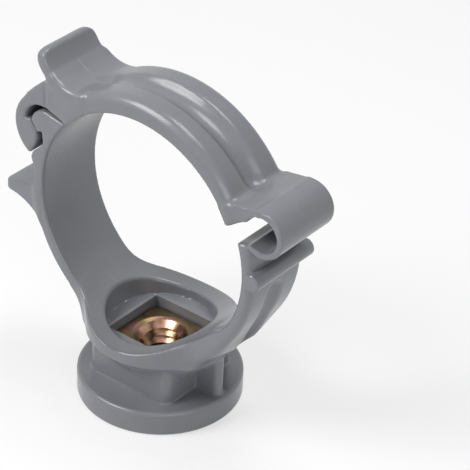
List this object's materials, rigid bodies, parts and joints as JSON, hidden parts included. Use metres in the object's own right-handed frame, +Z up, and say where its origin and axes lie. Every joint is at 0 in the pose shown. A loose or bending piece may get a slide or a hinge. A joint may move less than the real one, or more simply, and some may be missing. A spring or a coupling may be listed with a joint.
{
  "type": "pipe clip",
  "caption": "Hinged plastic pipe clip with a snap latch, a spring-loop hinge and a captive square nut in a round foot.",
  "frame": {"origin": "centre of the foot's underside, on the stud's axis", "axes": "+Z up from the foot to the ring, +Y along the pipe, +X towards the hinge"},
  "size_m": [0.0577, 0.028, 0.0595],
  "materials": {
    "plastic": "semi-gloss moulded grey",
    "zinc": "yellow zinc plating"
  },
  "bodies": {
    "clip": {"base": "plastic", "nut": "zinc", "hinge_loop": "plastic"},
    "jaw": {"jaw": "plastic", "snap_hook": "plastic"}
  },
  "joints": [
    {"name": "jaw_open", "type": "hinge", "parent": "clip", "child": "jaw", "pos_m": [0.02478, 0, 0.04396], "axis": [0, 1, 0], "range_deg": [0, 80], "deforming": ["hinge_loop", "snap_hook"]}
  ]
}
